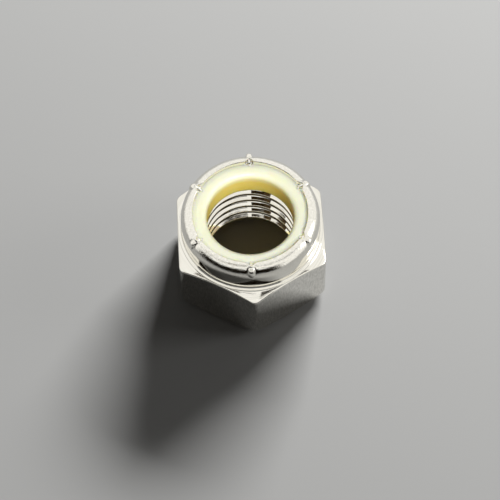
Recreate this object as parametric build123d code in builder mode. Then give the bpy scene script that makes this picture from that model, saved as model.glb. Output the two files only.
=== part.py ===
"""Nylon insert lock nut, 7/16-20 UNF thread, 5/8 in across the flats.

The nut body is one piece of hexagon bar: turned outside, bored, tapped, and its thin collar rolled
over an insert ring. The crimping tool leaves six pinched ribs across the rolled lip. The insert is
one moulded ring that fills the pocket under the lip.

Frame: origin at the centre of the bearing face, +Z along the bore towards the insert, hexagon
corners on +Y and -Y. Millimetres. The bore is left plain at the thread's minor diameter.
"""

import os
from math import acos, cos, degrees, radians, sin, sqrt, tan

from build123d import *

INCH = 25.4

# Driving dimensions
ACROSS_FLATS = 5 / 8 * INCH
HEIGHT = 11.5
THREAD_MINOR_DIAMETER = 0.387 * INCH
HEX_SIDES = 6

# Hexagon bar and its two turned chamfers
CORNER_RADIUS = 0.9
TURNING_CLEARANCE = 1.0
BEARING_RADIUS = 7.2
BEARING_CHAMFER_ANGLE = 27
TOP_CHAMFER_HEIGHT = 7.86
TOP_CHAMFER_ANGLE = 28

# Rim at the foot of the collar
RIM_RADIUS = 7.84
RIM_HEIGHT = 8.02
RIM_EDGE_CHAMFER = 0.06
FOOT_CHAMFER = 0.2

# Collar, and the lip rolled in from it
COLLAR_RADIUS = 7.5
SHOULDER_RADIUS = 1.6
SHEET_THICKNESS = 0.72
LIP_RADIUS = 6.22
LIP_EDGE_CHAMFER = 0.12

# Bore, countersink and insert pocket
COUNTERSINK_RADIUS = 5.8
COUNTERSINK_ANGLE = 45
SEAT_HEIGHT = 7.56
POCKET_WALL_HEIGHT = 10.15

# Nylon insert
INSERT_BORE_RADIUS = 4.69
INSERT_CREST_RADIUS = 5.75
INSERT_CREST_HEIGHT = 10.8
INSERT_MOUTH_RADIUS = 0.6
INSERT_HEEL_CHAMFER = 0.15

# Ribs that the crimping tool pinches up across the lip, each with a bead that hangs over the insert.
# Pairs give the crest's rise above the rolled shoulder and its angle round the shoulder's centre.
RIB_COUNT = 6
RIB_TURN_FROM_CORNER = -2
RIB_WIDTH = 0.46
RIB_ROOT = -0.4
RIB_FOOT = (-0.1, 4)
RIB_EAR_FLANK = (0.16, 17)
RIB_EAR = (0.28, 31)
RIB_SADDLE = (0.12, 55)
RIB_EDGE_CHAMFER = 0.08
BEAD_REACH = 0.26
BEAD_TOP_DROP = 0.14
BEAD_DEPTH = 0.46

# Worked out from the above
half_flats = ACROSS_FLATS / 2
clear_radius = half_flats / cos(radians(180 / HEX_SIDES)) + TURNING_CLEARANCE
minor_radius = THREAD_MINOR_DIAMETER / 2
pocket_radius = COLLAR_RADIUS - SHEET_THICKNESS
lip_inner_arc = SHOULDER_RADIUS - SHEET_THICKNESS
shoulder_centre_radius = COLLAR_RADIUS - SHOULDER_RADIUS
shoulder_centre_height = HEIGHT - SHOULDER_RADIUS
countersink_depth = (COUNTERSINK_RADIUS - minor_radius) / tan(radians(COUNTERSINK_ANGLE))
lip_reach = LIP_RADIUS - shoulder_centre_radius
lip_underside_height = shoulder_centre_height + sqrt(lip_inner_arc**2 - lip_reach**2)
lip_top_height = shoulder_centre_height + sqrt(SHOULDER_RADIUS**2 - lip_reach**2)
rib_end_angle = degrees(acos(lip_reach / SHOULDER_RADIUS))


def bearing_chamfer_height(radius):
    """Height of the lower chamfer's cone at a radius."""
    return (radius - BEARING_RADIUS) * tan(radians(BEARING_CHAMFER_ANGLE))


def top_chamfer_height(radius):
    """Height of the upper chamfer's cone at a radius."""
    return TOP_CHAMFER_HEIGHT - (radius - half_flats) * tan(radians(TOP_CHAMFER_ANGLE))


def on_shoulder(rise, angle):
    """A point of the meridian plane, by its rise above the shoulder and its angle round the centre."""
    distance = SHOULDER_RADIUS + rise
    return (
        shoulder_centre_radius + distance * cos(radians(angle)),
        shoulder_centre_height + distance * sin(radians(angle)),
    )


# One pinched rib: an ear at the shoulder, a low saddle across the lip, and a rounded bead inside
with BuildPart() as crimp_rib:
    with BuildSketch(Plane.XZ):
        with BuildLine():
            ear = ThreePointArc(on_shoulder(*RIB_FOOT), on_shoulder(*RIB_EAR_FLANK), on_shoulder(*RIB_EAR))
            saddle = ThreePointArc(ear @ 1, on_shoulder(*RIB_SADDLE), (LIP_RADIUS, lip_top_height - BEAD_TOP_DROP))
            bead = ThreePointArc(
                saddle @ 1,
                (LIP_RADIUS - BEAD_REACH, lip_top_height - BEAD_TOP_DROP - BEAD_DEPTH / 2),
                (LIP_RADIUS, lip_top_height - BEAD_TOP_DROP - BEAD_DEPTH),
            )
            root = ThreePointArc(
                on_shoulder(RIB_ROOT, RIB_FOOT[1]),
                on_shoulder(RIB_ROOT, RIB_SADDLE[1]),
                on_shoulder(RIB_ROOT, rib_end_angle),
            )
            Line(ear @ 0, root @ 0)
            Line(bead @ 1, root @ 1)
        make_face()
    extrude(amount=RIB_WIDTH / 2, both=True)
    crest_faces = crimp_rib.faces().filter_by(GeomType.CYLINDER).sort_by(Axis.X)[-2:]
    chamfer(crest_faces.edges().filter_by(GeomType.CIRCLE), RIB_EDGE_CHAMFER)

# The metal body: bar, turned outside, bored, then crimped
with BuildPart() as nut_body:
    with BuildSketch() as bar_section:
        RegularPolygon(half_flats, HEX_SIDES, major_radius=False, rotation=180 / HEX_SIDES)
        fillet(bar_section.vertices(), CORNER_RADIUS)
    extrude(amount=HEIGHT)

    with BuildSketch(Plane.XZ):
        with BuildLine():
            Polyline(
                (0, 0),
                (BEARING_RADIUS, 0),
                (clear_radius, bearing_chamfer_height(clear_radius)),
                (clear_radius, top_chamfer_height(clear_radius)),
                (RIM_RADIUS, top_chamfer_height(RIM_RADIUS)),
                (RIM_RADIUS, RIM_HEIGHT),
                (COLLAR_RADIUS + FOOT_CHAMFER, RIM_HEIGHT),
                (COLLAR_RADIUS, RIM_HEIGHT + FOOT_CHAMFER),
                (COLLAR_RADIUS, shoulder_centre_height),
            )
            shoulder = CenterArc((shoulder_centre_radius, shoulder_centre_height), SHOULDER_RADIUS, 0, 90)
            Polyline(shoulder @ 1, (0, HEIGHT), (0, 0))
        make_face()
    revolve(axis=Axis.Z, mode=Mode.INTERSECT)
    rim_edge = nut_body.edges().filter_by(GeomType.CIRCLE).filter_by_position(Axis.Z, RIM_HEIGHT, RIM_HEIGHT)
    chamfer(rim_edge.sort_by(SortBy.RADIUS)[-1], RIM_EDGE_CHAMFER)

    with BuildSketch(Plane.XZ):
        with BuildLine():
            Polyline(
                (0, 0),
                (COUNTERSINK_RADIUS, 0),
                (minor_radius, countersink_depth),
                (minor_radius, SEAT_HEIGHT),
                (pocket_radius, SEAT_HEIGHT),
                (pocket_radius, POCKET_WALL_HEIGHT),
                (LIP_RADIUS, lip_underside_height),
                (LIP_RADIUS, HEIGHT),
                (0, HEIGHT),
                (0, 0),
            )
        make_face()
    revolve(axis=Axis.Z, mode=Mode.SUBTRACT)
    lip_edges = nut_body.edges().filter_by(GeomType.CIRCLE).filter_by(lambda e: abs(e.radius - LIP_RADIUS) < 0.001)
    chamfer(lip_edges, LIP_EDGE_CHAMFER)

    with PolarLocations(0, RIB_COUNT, start_angle=90 + RIB_TURN_FROM_CORNER):
        add(crimp_rib.part)

# The moulded ring: fills the pocket up to the lip, and its mouth is rounded where the bolt enters
with BuildPart() as nylon_insert:
    with BuildSketch(Plane.XZ) as insert_section:
        with BuildLine():
            Polyline(
                (pocket_radius, SEAT_HEIGHT),
                (pocket_radius, POCKET_WALL_HEIGHT),
                (LIP_RADIUS, lip_underside_height),
                (INSERT_CREST_RADIUS, INSERT_CREST_HEIGHT),
                (INSERT_BORE_RADIUS, INSERT_CREST_HEIGHT),
                (INSERT_BORE_RADIUS, SEAT_HEIGHT),
                close=True,
            )
        make_face()
        mouth_corner = insert_section.vertices().group_by(Axis.X)[0].sort_by(Axis.Y)[-1]
        fillet(mouth_corner, INSERT_MOUTH_RADIUS)
        heel_corner = insert_section.vertices().group_by(Axis.X)[0].sort_by(Axis.Y)[0]
        chamfer(heel_corner, INSERT_HEEL_CHAMFER)
    revolve(axis=Axis.Z)

nut_body.part.label = "nut_body"
nylon_insert.part.label = "nylon_insert"

os.makedirs("parts", exist_ok=True)
for piece in (nut_body.part, nylon_insert.part):
    export_step(piece, f"parts/{piece.label}.step")
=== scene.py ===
from math import atan2, cos, degrees, pi, radians, sin, sqrt, tan

import bpy
import numpy as np
from mathutils import Matrix, Vector


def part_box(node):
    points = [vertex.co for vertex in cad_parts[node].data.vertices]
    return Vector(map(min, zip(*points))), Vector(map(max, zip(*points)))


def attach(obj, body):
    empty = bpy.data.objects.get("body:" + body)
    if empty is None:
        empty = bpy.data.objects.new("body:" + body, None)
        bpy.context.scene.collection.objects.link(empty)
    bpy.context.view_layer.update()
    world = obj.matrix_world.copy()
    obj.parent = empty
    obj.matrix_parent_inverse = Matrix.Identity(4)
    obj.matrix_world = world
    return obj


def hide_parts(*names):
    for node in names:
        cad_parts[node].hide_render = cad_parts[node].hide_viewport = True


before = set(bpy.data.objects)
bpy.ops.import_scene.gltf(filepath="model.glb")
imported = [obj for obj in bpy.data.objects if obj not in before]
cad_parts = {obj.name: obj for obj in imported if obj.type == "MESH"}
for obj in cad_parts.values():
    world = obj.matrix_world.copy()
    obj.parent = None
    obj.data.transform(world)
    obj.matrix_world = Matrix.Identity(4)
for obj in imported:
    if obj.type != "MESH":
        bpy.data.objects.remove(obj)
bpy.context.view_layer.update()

# Lengths are in millimetres and angles in degrees until a mesh, lamp or camera is made.
MM = 0.001
INCH = 25.4
body_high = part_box("nut_body")[1]

# Hexagon bar
HALF_FLATS = body_high.x / MM
HEX_SIDES = 6
SIDE_TURN = 360 / HEX_SIDES
FIRST_CORNER = 30
CORNER_RADIUS = 0.9
BEARING_RADIUS = 7.2
BEARING_CHAMFER_ANGLE = 27
TOP_CHAMFER_HEIGHT = 7.86
TOP_CHAMFER_ANGLE = 28

# Collar and rolled lip
RIM_RADIUS = 7.84
RIM_HEIGHT = 8.02
COLLAR_RADIUS = 7.5
SHOULDER_RADIUS = 1.6
SHOULDER_CENTRE = (5.9, 9.9)
LIP_RADIUS = 6.22
LIP_EDGE_ROUND = 0.15
LIP_UNDERSIDE_HEIGHT = 10.72
LIP_FACE_FOOT = LIP_UNDERSIDE_HEIGHT + 0.14
LIP_FLATTENING = 0.05  # midway between two crimp marks
FLATTENING_LENGTH = 0.8
POCKET_RADIUS = 6.78
POCKET_WALL_HEIGHT = 10.15
SEAT_HEIGHT = 7.56

# Roundings of the body's edges, from the countersink outwards and up, and of the pocket's
BORE_EDGE_ROUND = 0.04
BEARING_EDGE_ROUND = 0.1
FLAT_FOOT_ROUND = 0.1
FLAT_TOP_ROUND = 0.22
RIM_FOOT_ROUND = 0.02
RIM_TOP_ROUND = 0.05
COLLAR_FOOT_ROUND = 0.24
POCKET_ROUND = 0.1

# Rows near an edge keep the shading even beyond it: two distances on the flat, and a share of the top
# chamfer's width. The edge's rounding takes at most another share of that width.
FLAT_FOOT_MARGIN = 0.12
FLAT_TOP_MARGIN = 0.15
CHAMFER_MARGIN_SHARE = 0.15
CHAMFER_ROUND_SHARE = 0.8

# Tapped thread, right-handed. Its crest is a quarter of the pitch wide.
PITCH = INCH / 20
MINOR_RADIUS = 0.387 * INCH / 2
MAJOR_RADIUS = 7 / 16 * INCH / 2
FLANK_ANGLE = 30
CREST_HALF_WIDTH = 1 / 8
FAR_CREST_HEIGHT = 6.57
COUNTERSINK_RADIUS = 5.8
THREAD_FOOT = 0.24

# Thread rows, in pitches: how far they stand from a crest's and a root's corners, and from the bore's ends
CREST_CORNER_MARGIN = 0.025
ROOT_CORNER_MARGIN = 0.015
THREAD_END_MARGIN = 0.03
THREAD_TURNS = range(-8, 4)

# Crimp marks: a notch in the lip's edge with a bead in it, and a pinched ridge out to an ear on the shoulder.
# A station is a distance out from the lip's edge, along the shoulder.
MARK_TURN = -2
MARK_SPAN = 8
EAR_RISE = 0.17
EAR_SHARES = (0.9, 1.7, 0.8, 0.8, 0.9, 1.0)  # of EAR_RISE, counterclockwise from the mark nearest +X
EAR_STATION = 1.0
EAR_HALF_WIDTH = 0.4
EAR_HALF_LENGTH = 0.65
RIDGE_RISE = 0.08
RIDGE_STATION = 0.9
RIDGE_HALF_WIDTH = 0.38
RIDGE_HALF_LENGTH = 0.6
GROOVE_DEPTH = 0.04
GROOVE_STATION = 1.0
GROOVE_ACROSS = 0.42
GROOVE_HALF_WIDTH = 0.15
GROOVE_HALF_LENGTH = 0.7
NOTCH_DEPTH = 0.4
NOTCH_HALF_WIDTH = 0.55
NOTCH_LENGTH = 0.65
NOTCH_FADE = 0.14
BEAD_REACH = 0.46
BEAD_HALF_WIDTH = 0.21
BEAD_HALF_HEIGHT = 0.3
BEAD_HEIGHT = 10.98
BEAD_LAST_STATION = 0.05

# Nylon insert
INSERT_BORE_RADIUS = 4.69
INSERT_MOUTH_RADIUS = 0.6
INSERT_CREST_HEIGHT = 10.8
INSERT_CREST_RADIUS = 5.75
INSERT_CREST_ROUND = 0.5
INSERT_HEEL_ROUND = 0.5
INSERT_LIP_ROUND = 0.06
INSERT_BORE_MARGIN = 1.5

# How finely the meshes are divided
SHOULDER_ROWS = 27
LIP_EDGE_ROWS = 7
LIP_FACE_ROWS = 9
COLLAR_ROWS = 5
COLLAR_ROWS_PINCHED = 4
INSERT_COLUMNS = 240

# Kinds of metal finish, which are also the body's material slots, and the most that a drawn face leans
DRAWN, TURNED, FORMED, TAPPED = 0, 1, 2, 3
UPRIGHT_LEAN = 0.01

# Steel finishes: depth of the grain, ends of the roughness, and darkest and lightest colour
DRAWN_LOOK = (0.02, (0.04, 0.08), (0.56, 0.55, 0.51, 1), (0.95, 0.93, 0.88, 1))
TURNED_LOOK = (0.003, (0.05, 0.10), (0.80, 0.78, 0.705, 1), (0.93, 0.91, 0.85, 1))
FORMED_LOOK = (0.02, (0.08, 0.18), (0.80, 0.78, 0.705, 1), (0.94, 0.92, 0.86, 1))
TAPPED_LOOK = (0.0004, (0.02, 0.05), (0.78, 0.75, 0.67, 1), (0.93, 0.91, 0.84, 1))

# Noise frequencies, in cycles a metre
DAPPLE_SCALE = (4600, 4600, 4600)
STREAK_SCALE = (6500, 6500, 1900)
RING_SCALE = 5200.0
RING_WANDER = 260.0
STEEL_CLOUD_SCALE = 700.0
NYLON_CLOUD_SCALE = 900.0

# Nylon: amber in the bore as painted glow of light through the nylon, its own cream on top, and the heights
# that they blend between
NYLON_PAINTED_GLOW = ((0.93, 0.68, 0.12, 1), (0.97, 0.78, 0.22, 1))
NYLON_HIGH = ((0.95, 0.91, 0.62, 1), (0.98, 0.96, 0.74, 1))
NYLON_BLEND = (9.6, 10.7)
NYLON_ROUGHNESS = (0.36, 0.48)
NYLON_BUMP = 0.02
NYLON_SCATTER_SHARE = 0.7
NYLON_SCATTER_COLOURS = (1.0, 0.8, 0.3)
NYLON_SCATTER_DEPTH = 1.5

# Noise values between these are stretched over a texture's whole range
NOISE_LOW, NOISE_HIGH = 0.3, 0.7

# Floor and lamps
FLOOR_HALF = 900
FLOOR_COLOUR = (0.55, 0.55, 0.54, 1)
BACK_KEY = {"place": (205, 355, 209), "target": (0, 0, 5), "width": 240, "depth": 90, "radiance": 54}
RIGHT_SIDE = {"place": (380, 0, 160), "target": (0, 0, 5), "width": 160, "depth": 160, "radiance": 2.5}
INSERT_FILL = {"place": (100, -234, 360), "target": (0, 0, 10), "width": 320, "depth": 280, "radiance": 9.4}
WORLD_COLOUR = (1.0, 0.99, 0.96, 1)
WORLD_SEEN = 1.0
WORLD_LIGHT = 0.05

# Dark cards behind the camera: columns of azimuth, lowest and highest elevation
FLAG_DISTANCE = 240
CAMERA_FLAG = [(3, 60.85, 67), (-6, 60.95, 67), (-13, 60.8, 67), (-29, 59.9, 66)]
CAMERA_FLAG_COLOUR = (0.06, 0.036, 0.012, 1)
LEFT_FLAG = [(-21, 57.8, 59.8), (-28.9, 57, 59.9), (-29, 57, 66), (-45, 54.3, 63),
             (-45.1, 54.3, 57.2), (-57, 51.8, 55.2), (-80, 45, 49.5)]
LEFT_FLAG_COLOUR = (0.16, 0.105, 0.05, 1)
RIGHT_FLAG = [(12, 57, 60.95), (21, 56.6, 60.4), (28, 56, 59.7), (45, 53.5, 57.2), (60, 49.5, 53.9),
              (75, 44, 49)]
RIGHT_FLAG_COLOUR = (0.07, 0.055, 0.04, 1)

# Dark screen round the front
SCREEN_DISTANCE = 270
SCREEN_HEIGHT = 185
SCREEN_ENDS = (-75, 35)
SCREEN_STEPS = 22
SCREEN_COLOUR = (0.04, 0.03, 0.02, 1)

# Camera: its place, and the azimuth, elevation and roll that it looks from
CAMERA_PLACE = (-3.016, -99.87, 182.80)
CAMERA_AZIMUTH = -1.65
CAMERA_ELEVATION = 60.96
CAMERA_ROLL = -1.66
CAMERA_LENS = 133.7
CAMERA_SENSOR = 36
CAMERA_NEAR = 10


# ---------------------------------------------------------------------------------------------
# Sections
# ---------------------------------------------------------------------------------------------

def corner_start():
    """Angle from a flat's middle at which the corner's rounding starts."""
    return degrees(atan2((HALF_FLATS - CORNER_RADIUS) * tan(radians(SIDE_TURN / 2)), HALF_FLATS))


def hex_radius(angle):
    """Distance from the axis to the bar's surface in a direction."""
    from_flat = abs((angle + SIDE_TURN / 2) % SIDE_TURN - SIDE_TURN / 2)
    if from_flat <= corner_start():
        return HALF_FLATS / cos(radians(from_flat))
    corner_centre = (HALF_FLATS - CORNER_RADIUS) / cos(radians(SIDE_TURN / 2))
    off = radians(SIDE_TURN / 2 - from_flat)
    return corner_centre * cos(off) + sqrt(CORNER_RADIUS**2 - (corner_centre * sin(off)) ** 2)


def rounded(corners):
    """Points along a line through (radius, height, rounding, steps) corners, each corner rounded off."""
    points = []
    for k, (r, z, rounding, steps) in enumerate(corners):
        if steps == 0:
            points.append((r, z))
            continue
        here = np.array((r, z))
        before = np.array(corners[k - 1][:2]) - here
        after = np.array(corners[k + 1][:2]) - here
        before, after = before / np.linalg.norm(before), after / np.linalg.norm(after)
        half = np.arccos(np.clip(before @ after, -1, 1)) / 2
        middle = (before + after) / np.linalg.norm(before + after)
        centre = here + middle * rounding / np.sin(half)
        start = here + before * rounding / np.tan(half) - centre
        end = here + after * rounding / np.tan(half) - centre
        sweep = np.arctan2(start[0] * end[1] - start[1] * end[0], start @ end)
        for t in np.linspace(0, 1, steps + 1):
            c, s = np.cos(sweep * t), np.sin(sweep * t)
            points.append((centre[0] + c * start[0] - s * start[1], centre[1] + s * start[0] + c * start[1]))
    return points


def between(a, b, count):
    """Inner points of a straight stretch, spaced evenly."""
    return [(a[0] + (b[0] - a[0]) * t, a[1] + (b[1] - a[1]) * t) for t in np.linspace(0, 1, count + 2)[1:-1]]


def arc_points(centre, radius, angles):
    return [(centre[0] + radius * cos(radians(a)), centre[1] + radius * sin(radians(a))) for a in angles]


def shoulder_and_lip():
    """The rolled shoulder from the collar's wall to the lip's edge, and that edge's rounding."""
    centre_r, centre_z = SHOULDER_CENTRE
    edge_r = LIP_RADIUS + LIP_EDGE_ROUND
    edge_z = centre_z + sqrt((SHOULDER_RADIUS - LIP_EDGE_ROUND) ** 2 - (edge_r - centre_r) ** 2)
    meets = degrees(atan2(edge_z - centre_z, edge_r - centre_r))
    shoulder = arc_points(SHOULDER_CENTRE, SHOULDER_RADIUS, np.linspace(0, meets, SHOULDER_ROWS))
    edge = arc_points((edge_r, edge_z), LIP_EDGE_ROUND, np.linspace(meets, 180, LIP_EDGE_ROWS + 1)[1:])
    return shoulder, edge


def top_chamfer_height(radius):
    """Height of the upper chamfer's cone at a radius."""
    return TOP_CHAMFER_HEIGHT - (radius - HALF_FLATS) * tan(radians(TOP_CHAMFER_ANGLE))


def outside_section(angle):
    """Sections of the body's outside at an angle: countersink to collar, then shoulder and lip."""
    flat = hex_radius(angle)
    chamfer_foot = (flat - BEARING_RADIUS) * tan(radians(BEARING_CHAMFER_ANGLE))
    chamfer_top = top_chamfer_height(flat)
    chamfer_length = (flat - RIM_RADIUS) / cos(radians(TOP_CHAMFER_ANGLE))
    room = CHAMFER_ROUND_SHARE * chamfer_length / tan(radians((90 - TOP_CHAMFER_ANGLE) / 2))
    margin_radius = RIM_RADIUS + CHAMFER_MARGIN_SHARE * (flat - RIM_RADIUS)
    plain = rounded([
        (COUNTERSINK_RADIUS - THREAD_FOOT, THREAD_FOOT, 0, 0),
        (COUNTERSINK_RADIUS, 0, BORE_EDGE_ROUND, 2),
        ((COUNTERSINK_RADIUS + BEARING_RADIUS) / 2, 0, 0, 0),
        (BEARING_RADIUS, 0, BEARING_EDGE_ROUND, 3),
        (flat, chamfer_foot, FLAT_FOOT_ROUND, 4),
        (flat, chamfer_foot + FLAT_FOOT_MARGIN, 0, 0),
        (flat, chamfer_top - FLAT_TOP_MARGIN, 0, 0),
        (flat, chamfer_top, min(FLAT_TOP_ROUND, room), 6),
        (margin_radius, top_chamfer_height(margin_radius), 0, 0),
        (RIM_RADIUS, top_chamfer_height(RIM_RADIUS), RIM_FOOT_ROUND, 1),
        (RIM_RADIUS, RIM_HEIGHT, RIM_TOP_ROUND, 3),
        (COLLAR_RADIUS, RIM_HEIGHT, COLLAR_FOOT_ROUND, 5),
        (COLLAR_RADIUS, SHOULDER_CENTRE[1], 0, 0),
    ])[:-1]
    collar_foot = (COLLAR_RADIUS, RIM_HEIGHT + COLLAR_FOOT_ROUND)
    plain += between(collar_foot, (COLLAR_RADIUS, SHOULDER_CENTRE[1]), COLLAR_ROWS)
    shoulder, edge = shoulder_and_lip()
    return plain, shoulder + edge


def inside_section(angle):
    """Section from the lip's inner face down round the pocket to the thread's upper end."""
    face_top = shoulder_and_lip()[1][-1]
    face_foot = (LIP_RADIUS, LIP_FACE_FOOT)
    pocket = rounded([
        (*face_foot, 0, 0),
        (LIP_RADIUS, LIP_UNDERSIDE_HEIGHT, POCKET_ROUND, 4),
        (POCKET_RADIUS, POCKET_WALL_HEIGHT, POCKET_ROUND, 2),
        (POCKET_RADIUS, SEAT_HEIGHT, POCKET_ROUND, 2),
        (thread_radius(SEAT_HEIGHT, angle), SEAT_HEIGHT, 0, 0),
    ])
    return between(face_top, face_foot, LIP_FACE_ROWS), pocket


# ---------------------------------------------------------------------------------------------
# Crimp marks
# ---------------------------------------------------------------------------------------------

def bump(x):
    """A smooth bump, 1 at the middle and 0 from -1 and 1 outwards."""
    return np.where(np.abs(x) < 1, np.cos(np.clip(x, -1, 1) * pi / 2) ** 2, 0.0)


def plateau(x, edge=0.45):
    """1 over the middle of -1 to 1, falling smoothly to 0 over the outer share."""
    t = np.clip((1 - np.abs(x)) / edge, 0, 1)
    return t * t * (3 - 2 * t)


def dome(x, y):
    """Height of a rounded knob over the unit circle."""
    return np.clip(1 - x**2 - y**2, 0, 1) ** 0.6


def mark_offset(across, station, height, ear_share):
    """How far the crimping tool moved the surface: out along its normal, and in towards the axis.

    across is the distance from the mark's middle, station the distance out from the lip's edge."""
    ear = EAR_RISE * ear_share * dome(across / EAR_HALF_WIDTH, (station - EAR_STATION) / EAR_HALF_LENGTH)
    ridge_length = bump((station - RIDGE_STATION) / RIDGE_HALF_LENGTH)
    ridge = RIDGE_RISE * ridge_length * plateau(across / RIDGE_HALF_WIDTH)
    beside = bump((np.abs(across) - GROOVE_ACROSS) / GROOVE_HALF_WIDTH)
    groove = GROOVE_DEPTH * beside * bump((station - GROOVE_STATION) / GROOVE_HALF_LENGTH)
    toe = np.clip((height - LIP_FACE_FOOT) / NOTCH_FADE, 0, 1) * np.clip(1 - station / NOTCH_LENGTH, 0, 1)
    notch = NOTCH_DEPTH * np.clip(1 - np.abs(across) / NOTCH_HALF_WIDTH, 0, 1) * toe
    bead = BEAD_REACH * dome(across / BEAD_HALF_WIDTH, (height - BEAD_HEIGHT) / BEAD_HALF_HEIGHT)
    return ear + ridge - groove, bead * (station < BEAD_LAST_STATION) - notch


def nearest_mark(angle):
    """The angle from the nearest crimp mark, and that mark's number."""
    turn = (angle - FIRST_CORNER - MARK_TURN + SIDE_TURN / 2) % SIDE_TURN - SIDE_TURN / 2
    return turn, round((angle - turn - FIRST_CORNER - MARK_TURN) / SIDE_TURN) % HEX_SIDES


def crimp(section, rows, edge_row, angle):
    """Moves some rows of a section as the crimping tool did; stations count from edge_row."""
    along = np.gradient(section, axis=0)
    normal = np.stack([along[:, 1], -along[:, 0]], axis=1)
    normal /= np.linalg.norm(normal, axis=1)[:, None]
    travelled = np.concatenate([[0], np.cumsum(np.linalg.norm(np.diff(section, axis=0), axis=1))])
    station = (travelled[edge_row] - travelled)[rows]
    turn, mark = nearest_mark(angle)
    across = radians(turn) * section[rows, 0]
    outward, inward = mark_offset(across, station, section[rows, 1], EAR_SHARES[mark])
    midway = sin(radians(HEX_SIDES / 2 * turn)) ** 2
    flattening = LIP_FLATTENING * midway * np.clip(1 - station / FLATTENING_LENGTH, 0, 1)
    section[rows] += normal[rows] * outward[:, None]
    section[rows, 0] -= inward + flattening


# ---------------------------------------------------------------------------------------------
# Thread
# ---------------------------------------------------------------------------------------------

def flank_width():
    """A thread flank's height along the axis, in pitches."""
    return (MAJOR_RADIUS - MINOR_RADIUS) * tan(radians(FLANK_ANGLE)) / PITCH


def thread_radius(height, angle):
    """Radius of the tapped bore at a height and angle: thread, or countersink where that is wider."""
    turns = (height - FAR_CREST_HEIGHT) / PITCH - (angle - 90) / 360
    from_crest = abs((turns + 0.5) % 1 - 0.5)
    depth = (from_crest - CREST_HALF_WIDTH) / flank_width()
    thread = MINOR_RADIUS + (MAJOR_RADIUS - MINOR_RADIUS) * min(max(depth, 0), 1)
    return max(thread, COUNTERSINK_RADIUS - height)


def thread_steps():
    """Places of the thread's rows in one pitch, measured from a crest."""
    root_corner = CREST_HALF_WIDTH + flank_width()
    half = [
        CREST_HALF_WIDTH - CREST_CORNER_MARGIN,
        CREST_HALF_WIDTH,
        CREST_HALF_WIDTH + CREST_CORNER_MARGIN,
        CREST_HALF_WIDTH + flank_width() / 2,
        root_corner - ROOT_CORNER_MARGIN,
        root_corner + ROOT_CORNER_MARGIN,
    ]
    return half + [1 - step for step in reversed(half)]


def thread_rows(angle):
    """Heights of the thread's rows at an angle, by row number, between the bore's two ends."""
    steps = thread_steps()
    margin = THREAD_END_MARGIN * PITCH
    rows = {}
    for turn in THREAD_TURNS:
        for k, step in enumerate(steps):
            height = FAR_CREST_HEIGHT + PITCH * (turn + step + (angle - 90) / 360)
            if THREAD_FOOT + margin < height < SEAT_HEIGHT - margin:
                rows[turn * len(steps) + k] = height
    return rows


def thread_faces(columns, feet, tops):
    """Faces of the thread between its columns. Rows climb with the helix, so a many-cornered face closes each
    strip at both ends, to the skin's points in feet and tops."""
    faces = []
    for i, here in enumerate(columns):
        k = (i + 1) % len(columns)
        shift = len(thread_steps()) if k == 0 else 0
        there = {row - shift: point for row, point in columns[k].items()}
        low, high = max(min(here), min(there)), min(max(here), max(there))
        faces += [(here[row], here[row + 1], there[row + 1], there[row]) for row in range(low, high)]
        under = [here[row] for row in range(min(here), low + 1)]
        under_there = [there[row] for row in range(min(there), low + 1)]
        faces.append((feet[i], *under, *reversed(under_there), feet[k]))
        over = [here[row] for row in range(high, max(here) + 1)]
        over_there = [there[row] for row in range(high, max(there) + 1)]
        faces.append((*over, tops[i], tops[k], *reversed(over_there)))
    return faces


# ---------------------------------------------------------------------------------------------
# Meshes
# ---------------------------------------------------------------------------------------------

def column_angles():
    """Angles of one turn: close together round the corners and crimp marks, wider along the flats."""
    rounding = SIDE_TURN / 2 - corner_start()
    mark_end = MARK_SPAN + MARK_TURN
    stretches = [(-SIDE_TURN / 2, -MARK_SPAN, 12), (-MARK_SPAN, -rounding, 15), (-rounding, rounding, 18),
                 (rounding, mark_end, 9), (mark_end, SIDE_TURN / 2, 13)]
    offsets = np.concatenate([np.linspace(a, b, n, endpoint=False) for a, b, n in stretches])
    return np.concatenate([FIRST_CORNER + SIDE_TURN * k + offsets for k in range(HEX_SIDES)])


def body_columns(angles):
    """The body's outside and pocket as an array of [column, row] points."""
    columns = []
    for angle in angles:
        plain, formed = outside_section(angle)
        face, pocket = inside_section(angle)
        section = np.array(plain + formed + face + pocket)
        last = len(plain) + len(formed) + len(face)
        crimp(section, slice(len(plain) - COLLAR_ROWS_PINCHED, last), len(plain) + SHOULDER_ROWS, angle)
        columns.append(section)
    return np.array(columns)


def revolve_point(radius, height, angle):
    return (radius * cos(radians(angle)), radius * sin(radians(angle)), height)


def finish_at(point, next_point):
    """Kind of finish on a step of the section: drawn flats, a pressed lip, and turned elsewhere."""
    if (point[1] + next_point[1]) / 2 > SHOULDER_CENTRE[1]:
        return FORMED
    upright = abs(next_point[0] - point[0]) < UPRIGHT_LEAN * abs(next_point[1] - point[1])
    if upright and min(point[0], next_point[0]) > RIM_RADIUS:
        return DRAWN
    return TURNED


def nut_body_mesh():
    """The body as one closed skin: section columns outside, and helical thread rows inside.

    Gives points, faces and each face's kind of finish."""
    angles = column_angles()
    columns = body_columns(angles)
    count, rows = columns.shape[:2]
    points = [revolve_point(r, z, angle) for angle, column in zip(angles, columns) for r, z in column]
    faces, finishes = [], []
    for i in range(count):
        a, b = i * rows, (i + 1) % count * rows
        for j in range(rows - 1):
            faces.append((a + j, b + j, b + j + 1, a + j + 1))
            finishes.append(finish_at(columns[i, j], columns[i, j + 1]))

    thread = []
    for angle in angles:
        heights = thread_rows(angle)
        thread.append({row: len(points) + k for k, row in enumerate(heights)})
        points += [revolve_point(thread_radius(z, angle), z, angle) for z in heights.values()]
    feet = [i * rows for i in range(count)]
    tops = [i * rows + rows - 1 for i in range(count)]
    tapped = thread_faces(thread, feet, tops)
    return points, faces + tapped, finishes + [TAPPED] * len(tapped)


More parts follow.
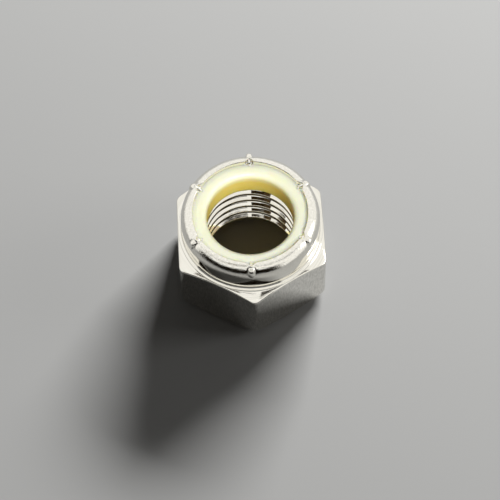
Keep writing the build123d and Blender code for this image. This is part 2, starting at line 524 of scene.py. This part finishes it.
def insert_mesh():
    """The moulded ring, revolved: it fills the pocket and its mouth is rounded."""
    section = rounded([
        (POCKET_RADIUS, SEAT_HEIGHT, 0, 0),
        (POCKET_RADIUS, POCKET_WALL_HEIGHT, POCKET_ROUND, 2),
        (LIP_RADIUS, LIP_UNDERSIDE_HEIGHT, INSERT_LIP_ROUND, 3),
        (INSERT_CREST_RADIUS, INSERT_CREST_HEIGHT, INSERT_CREST_ROUND, 8),
        (INSERT_BORE_RADIUS, INSERT_CREST_HEIGHT, INSERT_MOUTH_RADIUS, 16),
        (INSERT_BORE_RADIUS, SEAT_HEIGHT + INSERT_BORE_MARGIN, 0, 0),
        (INSERT_BORE_RADIUS, SEAT_HEIGHT, INSERT_HEEL_ROUND, 8),
        ((INSERT_BORE_RADIUS + POCKET_RADIUS) / 2, SEAT_HEIGHT, 0, 0),
        (POCKET_RADIUS, SEAT_HEIGHT, 0, 0),
    ])[:-1]
    angles = np.linspace(0, 360, INSERT_COLUMNS, endpoint=False)
    points = [revolve_point(r, z, a) for a in angles for r, z in section]
    rows = len(section)
    faces = []
    for i in range(INSERT_COLUMNS):
        a, b = i * rows, (i + 1) % INSERT_COLUMNS * rows
        for j in range(rows):
            k = (j + 1) % rows
            faces.append((a + j, b + j, b + k, a + k))
    return points, faces


def add_piece(name, points, faces, materials, finishes=None):
    """A smooth-shaded mesh object from millimetre points; finishes picks each face's material."""
    mesh = bpy.data.meshes.new(name)
    mesh.from_pydata([Vector(p) * MM for p in points], [], faces)
    mesh.validate()
    mesh.shade_smooth()
    for material in materials:
        mesh.materials.append(material)
    if finishes:
        mesh.polygons.foreach_set("material_index", finishes)
    piece = bpy.data.objects.new(name, mesh)
    bpy.context.scene.collection.objects.link(piece)
    return piece


# ---------------------------------------------------------------------------------------------
# Materials
# ---------------------------------------------------------------------------------------------

def node(tree, kind, inputs=None, **settings):
    """Adds a node; inputs maps socket names or numbers to values or to other nodes' sockets."""
    made = tree.nodes.new(kind)
    for key, value in settings.items():
        setattr(made, key, value)
    for key, value in (inputs or {}).items():
        if isinstance(value, bpy.types.NodeSocket):
            tree.links.new(value, made.inputs[key])
        else:
            made.inputs[key].default_value = value
    return made


def new_material(name):
    """A material with its node tree and its shader."""
    material = bpy.data.materials.new(name)
    material.use_nodes = True
    tree = material.node_tree
    return material, tree, tree.nodes["Principled BSDF"]


def stretch(tree, noise, low=0.0, high=1.0):
    """A noise's middle values spread over a range."""
    return node(tree, "ShaderNodeMapRange", {"Value": noise, "From Min": NOISE_LOW, "From Max": NOISE_HIGH,
                                             "To Min": low, "To Max": high}).outputs[0]


def blend(tree, share, first, second):
    """A colour between two colours or colour sockets."""
    mix = node(tree, "ShaderNodeMix", {0: share, "A": first, "B": second}, data_type="RGBA")
    return mix.outputs["Result"]


def roughen(tree, shader, cloud, roughness, height, depth):
    """Drives the shader's roughness from one noise, and its bump from another, depth millimetres deep."""
    tree.links.new(stretch(tree, cloud, *roughness), shader.inputs["Roughness"])
    bumped = node(tree, "ShaderNodeBump", {"Height": height, "Strength": 1.0, "Distance": depth * MM})
    tree.links.new(bumped.outputs[0], shader.inputs["Normal"])


def steel_material(name, grain, look):
    """Bright stainless steel; grain makes the texture's place vector for a kind of finish."""
    depth, roughness, dark, light = look
    material, tree, shader = new_material(name)
    place = node(tree, "ShaderNodeTexCoord").outputs["Object"]
    shader.inputs["Metallic"].default_value = 1
    streaks = node(tree, "ShaderNodeTexNoise", {"Vector": grain(tree, place), "Scale": 1.0, "Detail": 4.0,
                                                "Roughness": 0.6}).outputs[0]
    tree.links.new(blend(tree, stretch(tree, streaks), dark, light), shader.inputs["Base Color"])
    cloud = node(tree, "ShaderNodeTexNoise", {"Vector": place, "Scale": STEEL_CLOUD_SCALE, "Detail": 5.0})
    roughen(tree, shader, cloud.outputs[0], roughness, streaks, depth)
    return material


def formed_grain(tree, place):
    """Fine dapples, as pressed metal has: about a fifth of a millimetre across."""
    return node(tree, "ShaderNodeMapping", {0: place, "Scale": DAPPLE_SCALE}).outputs[0]


def drawn_grain(tree, place):
    """Fine short streaks along the bar."""
    return node(tree, "ShaderNodeMapping", {0: place, "Scale": STREAK_SCALE}).outputs[0]


def turned_grain(tree, place):
    """Rings round the axis: the place is measured by radius and height alone, with a little of the angle."""
    split = node(tree, "ShaderNodeSeparateXYZ", {0: place})
    flat = node(tree, "ShaderNodeCombineXYZ", {0: split.outputs[0], 1: split.outputs[1]})
    radius = node(tree, "ShaderNodeVectorMath", {0: flat.outputs[0]}, operation="LENGTH")
    ring = node(tree, "ShaderNodeCombineXYZ", {0: radius.outputs["Value"], 2: split.outputs[2]})
    rings = node(tree, "ShaderNodeVectorMath", {0: ring.outputs[0], "Scale": RING_SCALE}, operation="SCALE")
    wander = node(tree, "ShaderNodeVectorMath", {0: place, "Scale": RING_WANDER}, operation="SCALE")
    both = node(tree, "ShaderNodeVectorMath", {0: rings.outputs[0], 1: wander.outputs[0]}, operation="ADD")
    return both.outputs[0]


def nylon_material():
    """Milky nylon with a faint moulded unevenness. Down in the bore it is amber, a painted glow of the yellow
    light that passes through the nylon.
    """
    material, tree, shader = new_material("nylon")
    place = node(tree, "ShaderNodeTexCoord").outputs["Object"]
    split = node(tree, "ShaderNodeSeparateXYZ", {0: place})
    rise = node(tree, "ShaderNodeMapRange", {"Value": split.outputs[2], "From Min": NYLON_BLEND[0] * MM,
                                             "From Max": NYLON_BLEND[1] * MM}).outputs[0]
    clouds = node(tree, "ShaderNodeTexNoise", {"Vector": place, "Scale": NYLON_CLOUD_SCALE, "Detail": 4.0})
    cloud = clouds.outputs[0]
    # The amber in the bore is painted glow: the yellow of light passing through the nylon, not the nylon's
    # own colour
    tint = blend(tree, rise, blend(tree, cloud, *NYLON_PAINTED_GLOW), blend(tree, cloud, *NYLON_HIGH))
    tree.links.new(tint, shader.inputs["Base Color"])
    roughen(tree, shader, cloud, NYLON_ROUGHNESS, cloud, NYLON_BUMP)
    shader.inputs["Subsurface Weight"].default_value = NYLON_SCATTER_SHARE
    shader.inputs["Subsurface Radius"].default_value = NYLON_SCATTER_COLOURS
    shader.inputs["Subsurface Scale"].default_value = NYLON_SCATTER_DEPTH * MM
    return material


def card_material(name, colour):
    """Matt board, for the floor and the cards."""
    material, _, shader = new_material(name)
    shader.inputs["Base Color"].default_value = colour
    shader.inputs["Roughness"].default_value = 0.9
    shader.inputs["Specular IOR Level"].default_value = 0
    return material


# ---------------------------------------------------------------------------------------------
# Stage, lamps and camera
# ---------------------------------------------------------------------------------------------

def direction(azimuth, elevation):
    """Unit vector from the nut towards an azimuth, counted from -Y towards +X, and an elevation."""
    a, e = radians(azimuth), radians(elevation)
    return Vector((sin(a) * cos(e), -cos(a) * cos(e), sin(e)))


def add_floor():
    corners = [(-1, -1), (1, -1), (1, 1), (-1, 1)]
    points = [(x * FLOOR_HALF, y * FLOOR_HALF, 0) for x, y in corners]
    ground = add_piece("floor", points, [(0, 1, 2, 3)], [card_material("floor", FLOOR_COLOUR)])
    return ground


def add_card(name, colour, edges):
    """A dark card that the metal mirrors, as pairs of low and high edge points. It casts no shadow."""
    points = [point for pair in edges for point in pair]
    faces = [(2 * i, 2 * i + 2, 2 * i + 3, 2 * i + 1) for i in range(len(edges) - 1)]
    card = add_piece(name, points, faces, [card_material(name, colour)])
    card.visible_shadow = False


def add_flag(name, colour, columns):
    """A card behind the camera, which the thread and the top chamfer mirror."""
    edges = []
    for azimuth, low, high in columns:
        edges.append((direction(azimuth, low) * FLAG_DISTANCE, direction(azimuth, high) * FLAG_DISTANCE))
    add_card(name, colour, edges)


def add_front_screen():
    """A dark screen that stands far out round the front, for the shoulder and rounded edges to mirror."""
    edges = []
    for azimuth in np.linspace(*SCREEN_ENDS, SCREEN_STEPS + 1):
        foot = direction(azimuth, 0) * SCREEN_DISTANCE
        edges.append((foot, foot + Vector((0, 0, SCREEN_HEIGHT))))
    add_card("front_screen", SCREEN_COLOUR, edges)


def add_lamp(name, place, target, width, depth, radiance):
    """A rectangular soft lamp of a given brightness, in millimetres."""
    lamp = bpy.data.lights.new(name, "AREA")
    lamp.shape = "RECTANGLE"
    lamp.size, lamp.size_y = width * MM, depth * MM
    lamp.energy = radiance * pi * lamp.size * lamp.size_y
    lit = bpy.data.objects.new(name, lamp)
    lit.location = Vector(place) * MM
    lit.rotation_mode = "QUATERNION"
    lit.rotation_quaternion = (Vector(target) - Vector(place)).to_track_quat("-Z", "Y")
    bpy.context.scene.collection.objects.link(lit)
    return lit


def light_only(name, lamp, receivers):
    """Limits a lamp to some objects, as a barn door does."""
    group = bpy.data.collections.new(name)
    for receiver in receivers:
        group.objects.link(receiver)
    lamp.light_linking.receiver_collection = group


def add_lamps(nut, insert, ground):
    """Soft lamps. The front one lights the insert alone, so the floor that the flats mirror stays dark."""
    key = add_lamp("back_key", **BACK_KEY)
    side = add_lamp("right_side", **RIGHT_SIDE)
    fill = add_lamp("insert_fill", **INSERT_FILL)
    light_only("floor_lamps", key, [ground])
    light_only("side_lamps", side, [nut, ground])
    light_only("lit_from_the_front", fill, [insert])


def add_world():
    """A white studio. The camera and the mirroring metal see it white, but it adds little light to the floor
    and the nylon, directly or by way of the metal, so the lamps' shadows stay."""
    world = bpy.data.worlds.new("studio")
    world.use_nodes = True
    tree = world.node_tree
    path = node(tree, "ShaderNodeLightPath").outputs

    def combine(operation, first, second):
        return node(tree, "ShaderNodeMath", {0: first, 1: second}, operation=operation).outputs[0]

    mirrored = combine("MAXIMUM", path["Is Glossy Ray"], path["Is Transmission Ray"])
    undiffused = combine("LESS_THAN", path["Diffuse Depth"], 0.5)
    seen = combine("MAXIMUM", path["Is Camera Ray"], combine("MULTIPLY", mirrored, undiffused))
    strength = node(tree, "ShaderNodeMapRange", {0: seen, "To Min": WORLD_LIGHT, "To Max": WORLD_SEEN})
    background = tree.nodes["Background"]
    background.inputs["Color"].default_value = WORLD_COLOUR
    tree.links.new(strength.outputs[0], background.inputs["Strength"])
    bpy.context.scene.world = world


def add_camera():
    """The photograph's view: a long lens, looking down at the nut from 61 degrees."""
    roll = radians(CAMERA_ROLL)
    back = direction(CAMERA_AZIMUTH, CAMERA_ELEVATION)
    level = Vector((cos(radians(CAMERA_AZIMUTH)), sin(radians(CAMERA_AZIMUTH)), 0))
    above = back.cross(level)
    right = level * cos(roll) + above * sin(roll)
    up = above * cos(roll) - level * sin(roll)
    camera = bpy.data.objects.new("camera", bpy.data.cameras.new("camera"))
    camera.data.lens = CAMERA_LENS
    camera.data.sensor_width = CAMERA_SENSOR
    camera.data.clip_start = CAMERA_NEAR * MM
    turn = Matrix((right, up, back)).transposed().to_4x4()
    camera.matrix_world = Matrix.Translation(Vector(CAMERA_PLACE) * MM) @ turn
    bpy.context.scene.collection.objects.link(camera)
    bpy.context.scene.camera = camera


# ---------------------------------------------------------------------------------------------
# The scene
# ---------------------------------------------------------------------------------------------

bpy.context.scene.view_settings.view_transform = "Standard"
add_camera()
add_world()
add_flag("camera_flag", CAMERA_FLAG_COLOUR, CAMERA_FLAG)
add_flag("left_flag", LEFT_FLAG_COLOUR, LEFT_FLAG)
add_flag("right_flag", RIGHT_FLAG_COLOUR, RIGHT_FLAG)
add_front_screen()
ground = add_floor()

# In the order of the kinds of finish
steels = [
    steel_material("steel_drawn", drawn_grain, DRAWN_LOOK),
    steel_material("steel_turned", turned_grain, TURNED_LOOK),
    steel_material("steel_formed", formed_grain, FORMED_LOOK),
    steel_material("steel_tapped", turned_grain, TAPPED_LOOK),
]
body_points, body_faces, body_finishes = nut_body_mesh()
nut = add_piece("nut_body_finished", body_points, body_faces, steels, body_finishes)
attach(nut, "root")
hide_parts("nut_body")

insert = add_piece("nylon_insert_finished", *insert_mesh(), [nylon_material()])
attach(insert, "root")
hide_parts("nylon_insert")
add_lamps(nut, insert, ground)
